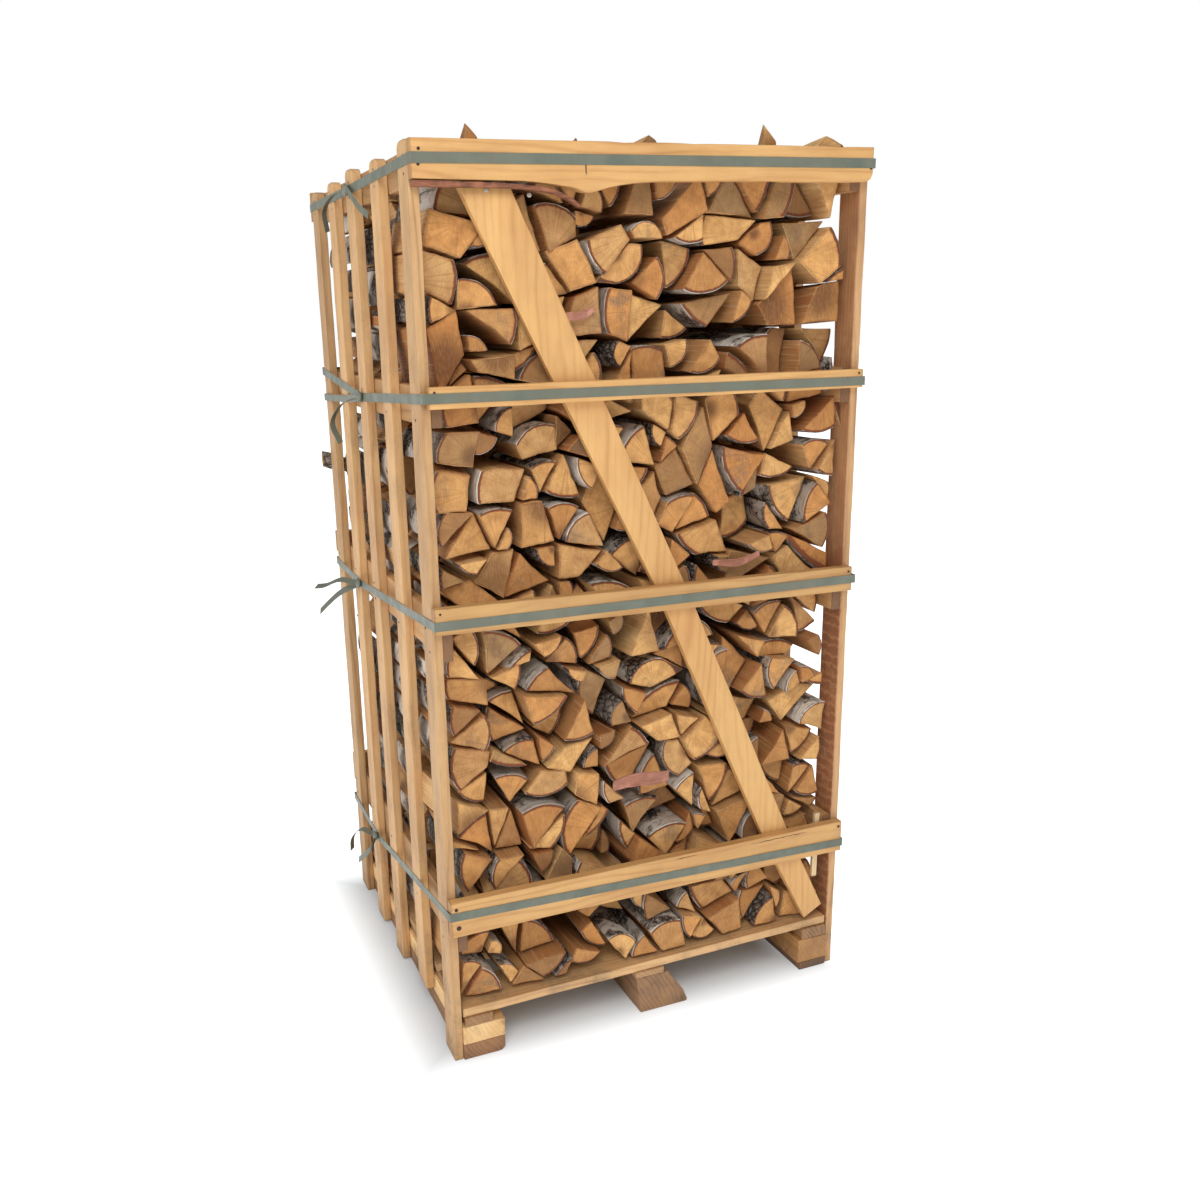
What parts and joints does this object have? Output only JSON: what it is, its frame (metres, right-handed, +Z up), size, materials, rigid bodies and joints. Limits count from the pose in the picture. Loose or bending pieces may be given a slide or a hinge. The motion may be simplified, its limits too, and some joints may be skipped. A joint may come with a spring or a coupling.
{
  "type": "strapped pallet crate of split birch firewood",
  "caption": "Slatted timber crate on pallet runners, filled to the brim with split birch logs, braced diagonally and strapped round at several heights.",
  "frame": {"origin": "on the ground, at the middle of the crate's bounding box", "axes": "+Z up, -Y towards the open face with the diagonal brace, +X to the right seen from that face"},
  "size_m": [1.1052, 0.9794, 1.976],
  "materials": {
    "slat_pine": "sawn pine, fine vertical grain, slightly dirty",
    "rail_pine": "sawn pine, long grain",
    "board_pine": "fresh sawn pine, honey coloured, with knots and nail heads",
    "deck_pine": "sawn pine with dirt and a waney edge",
    "runner_pine": "rough sawn beam, brown weathered end grain",
    "split_birch": "split birch, honey end grain, fibrous faces, white and grey bark",
    "bark": "peeling reddish brown inner bark",
    "strap": "grey green plastic strapping, slightly embossed"
  },
  "bodies": {
    "root": {"left_front_corner_post": "slat_pine", "left_slat_1": "slat_pine", "left_slat_2": "slat_pine", "left_slat_3": "slat_pine", "left_back_corner_post": "slat_pine", "right_front_corner_post": "slat_pine", "right_slat_1": "slat_pine", "right_slat_2": "slat_pine", "right_slat_3": "slat_pine", "right_back_corner_post": "slat_pine", "left_top_rail": "rail_pine", "right_top_rail": "rail_pine", "left_upper_rail": "rail_pine", "right_upper_rail": "rail_pine", "left_lower_rail": "rail_pine", "right_lower_rail": "rail_pine", "left_bottom_rail": "rail_pine", "right_bottom_rail": "rail_pine", "front_top_board": "board_pine", "front_upper_board": "board_pine", "front_lower_board": "board_pine", "front_bottom_board": "board_pine", "front_diagonal_brace": "board_pine", "back_top_board": "board_pine", "back_upper_board": "board_pine", "back_lower_board": "board_pine", "back_bottom_board": "board_pine", "back_diagonal_brace": "board_pine", "peeling_bark_strip": "bark", "deck_board_1": "deck_pine", "deck_board_2": "deck_pine", "deck_board_3": "deck_pine", "deck_board_4": "deck_pine", "deck_board_5": "deck_pine", "left_runner_spacer": "deck_pine", "left_runner_beam": "runner_pine", "left_runner_skid": "runner_pine", "middle_runner_spacer": "deck_pine", "middle_runner_beam": "runner_pine", "right_runner_spacer": "deck_pine", "right_runner_beam": "runner_pine", "right_runner_skid": "runner_pine", "log_row_front": "split_birch", "log_row_middle": "split_birch", "log_row_back": "split_birch", "loose_stick": "split_birch", "top_strap": "strap", "upper_strap": "strap", "lower_strap": "strap", "bottom_strap": "strap"}
  },
  "joints": []
}
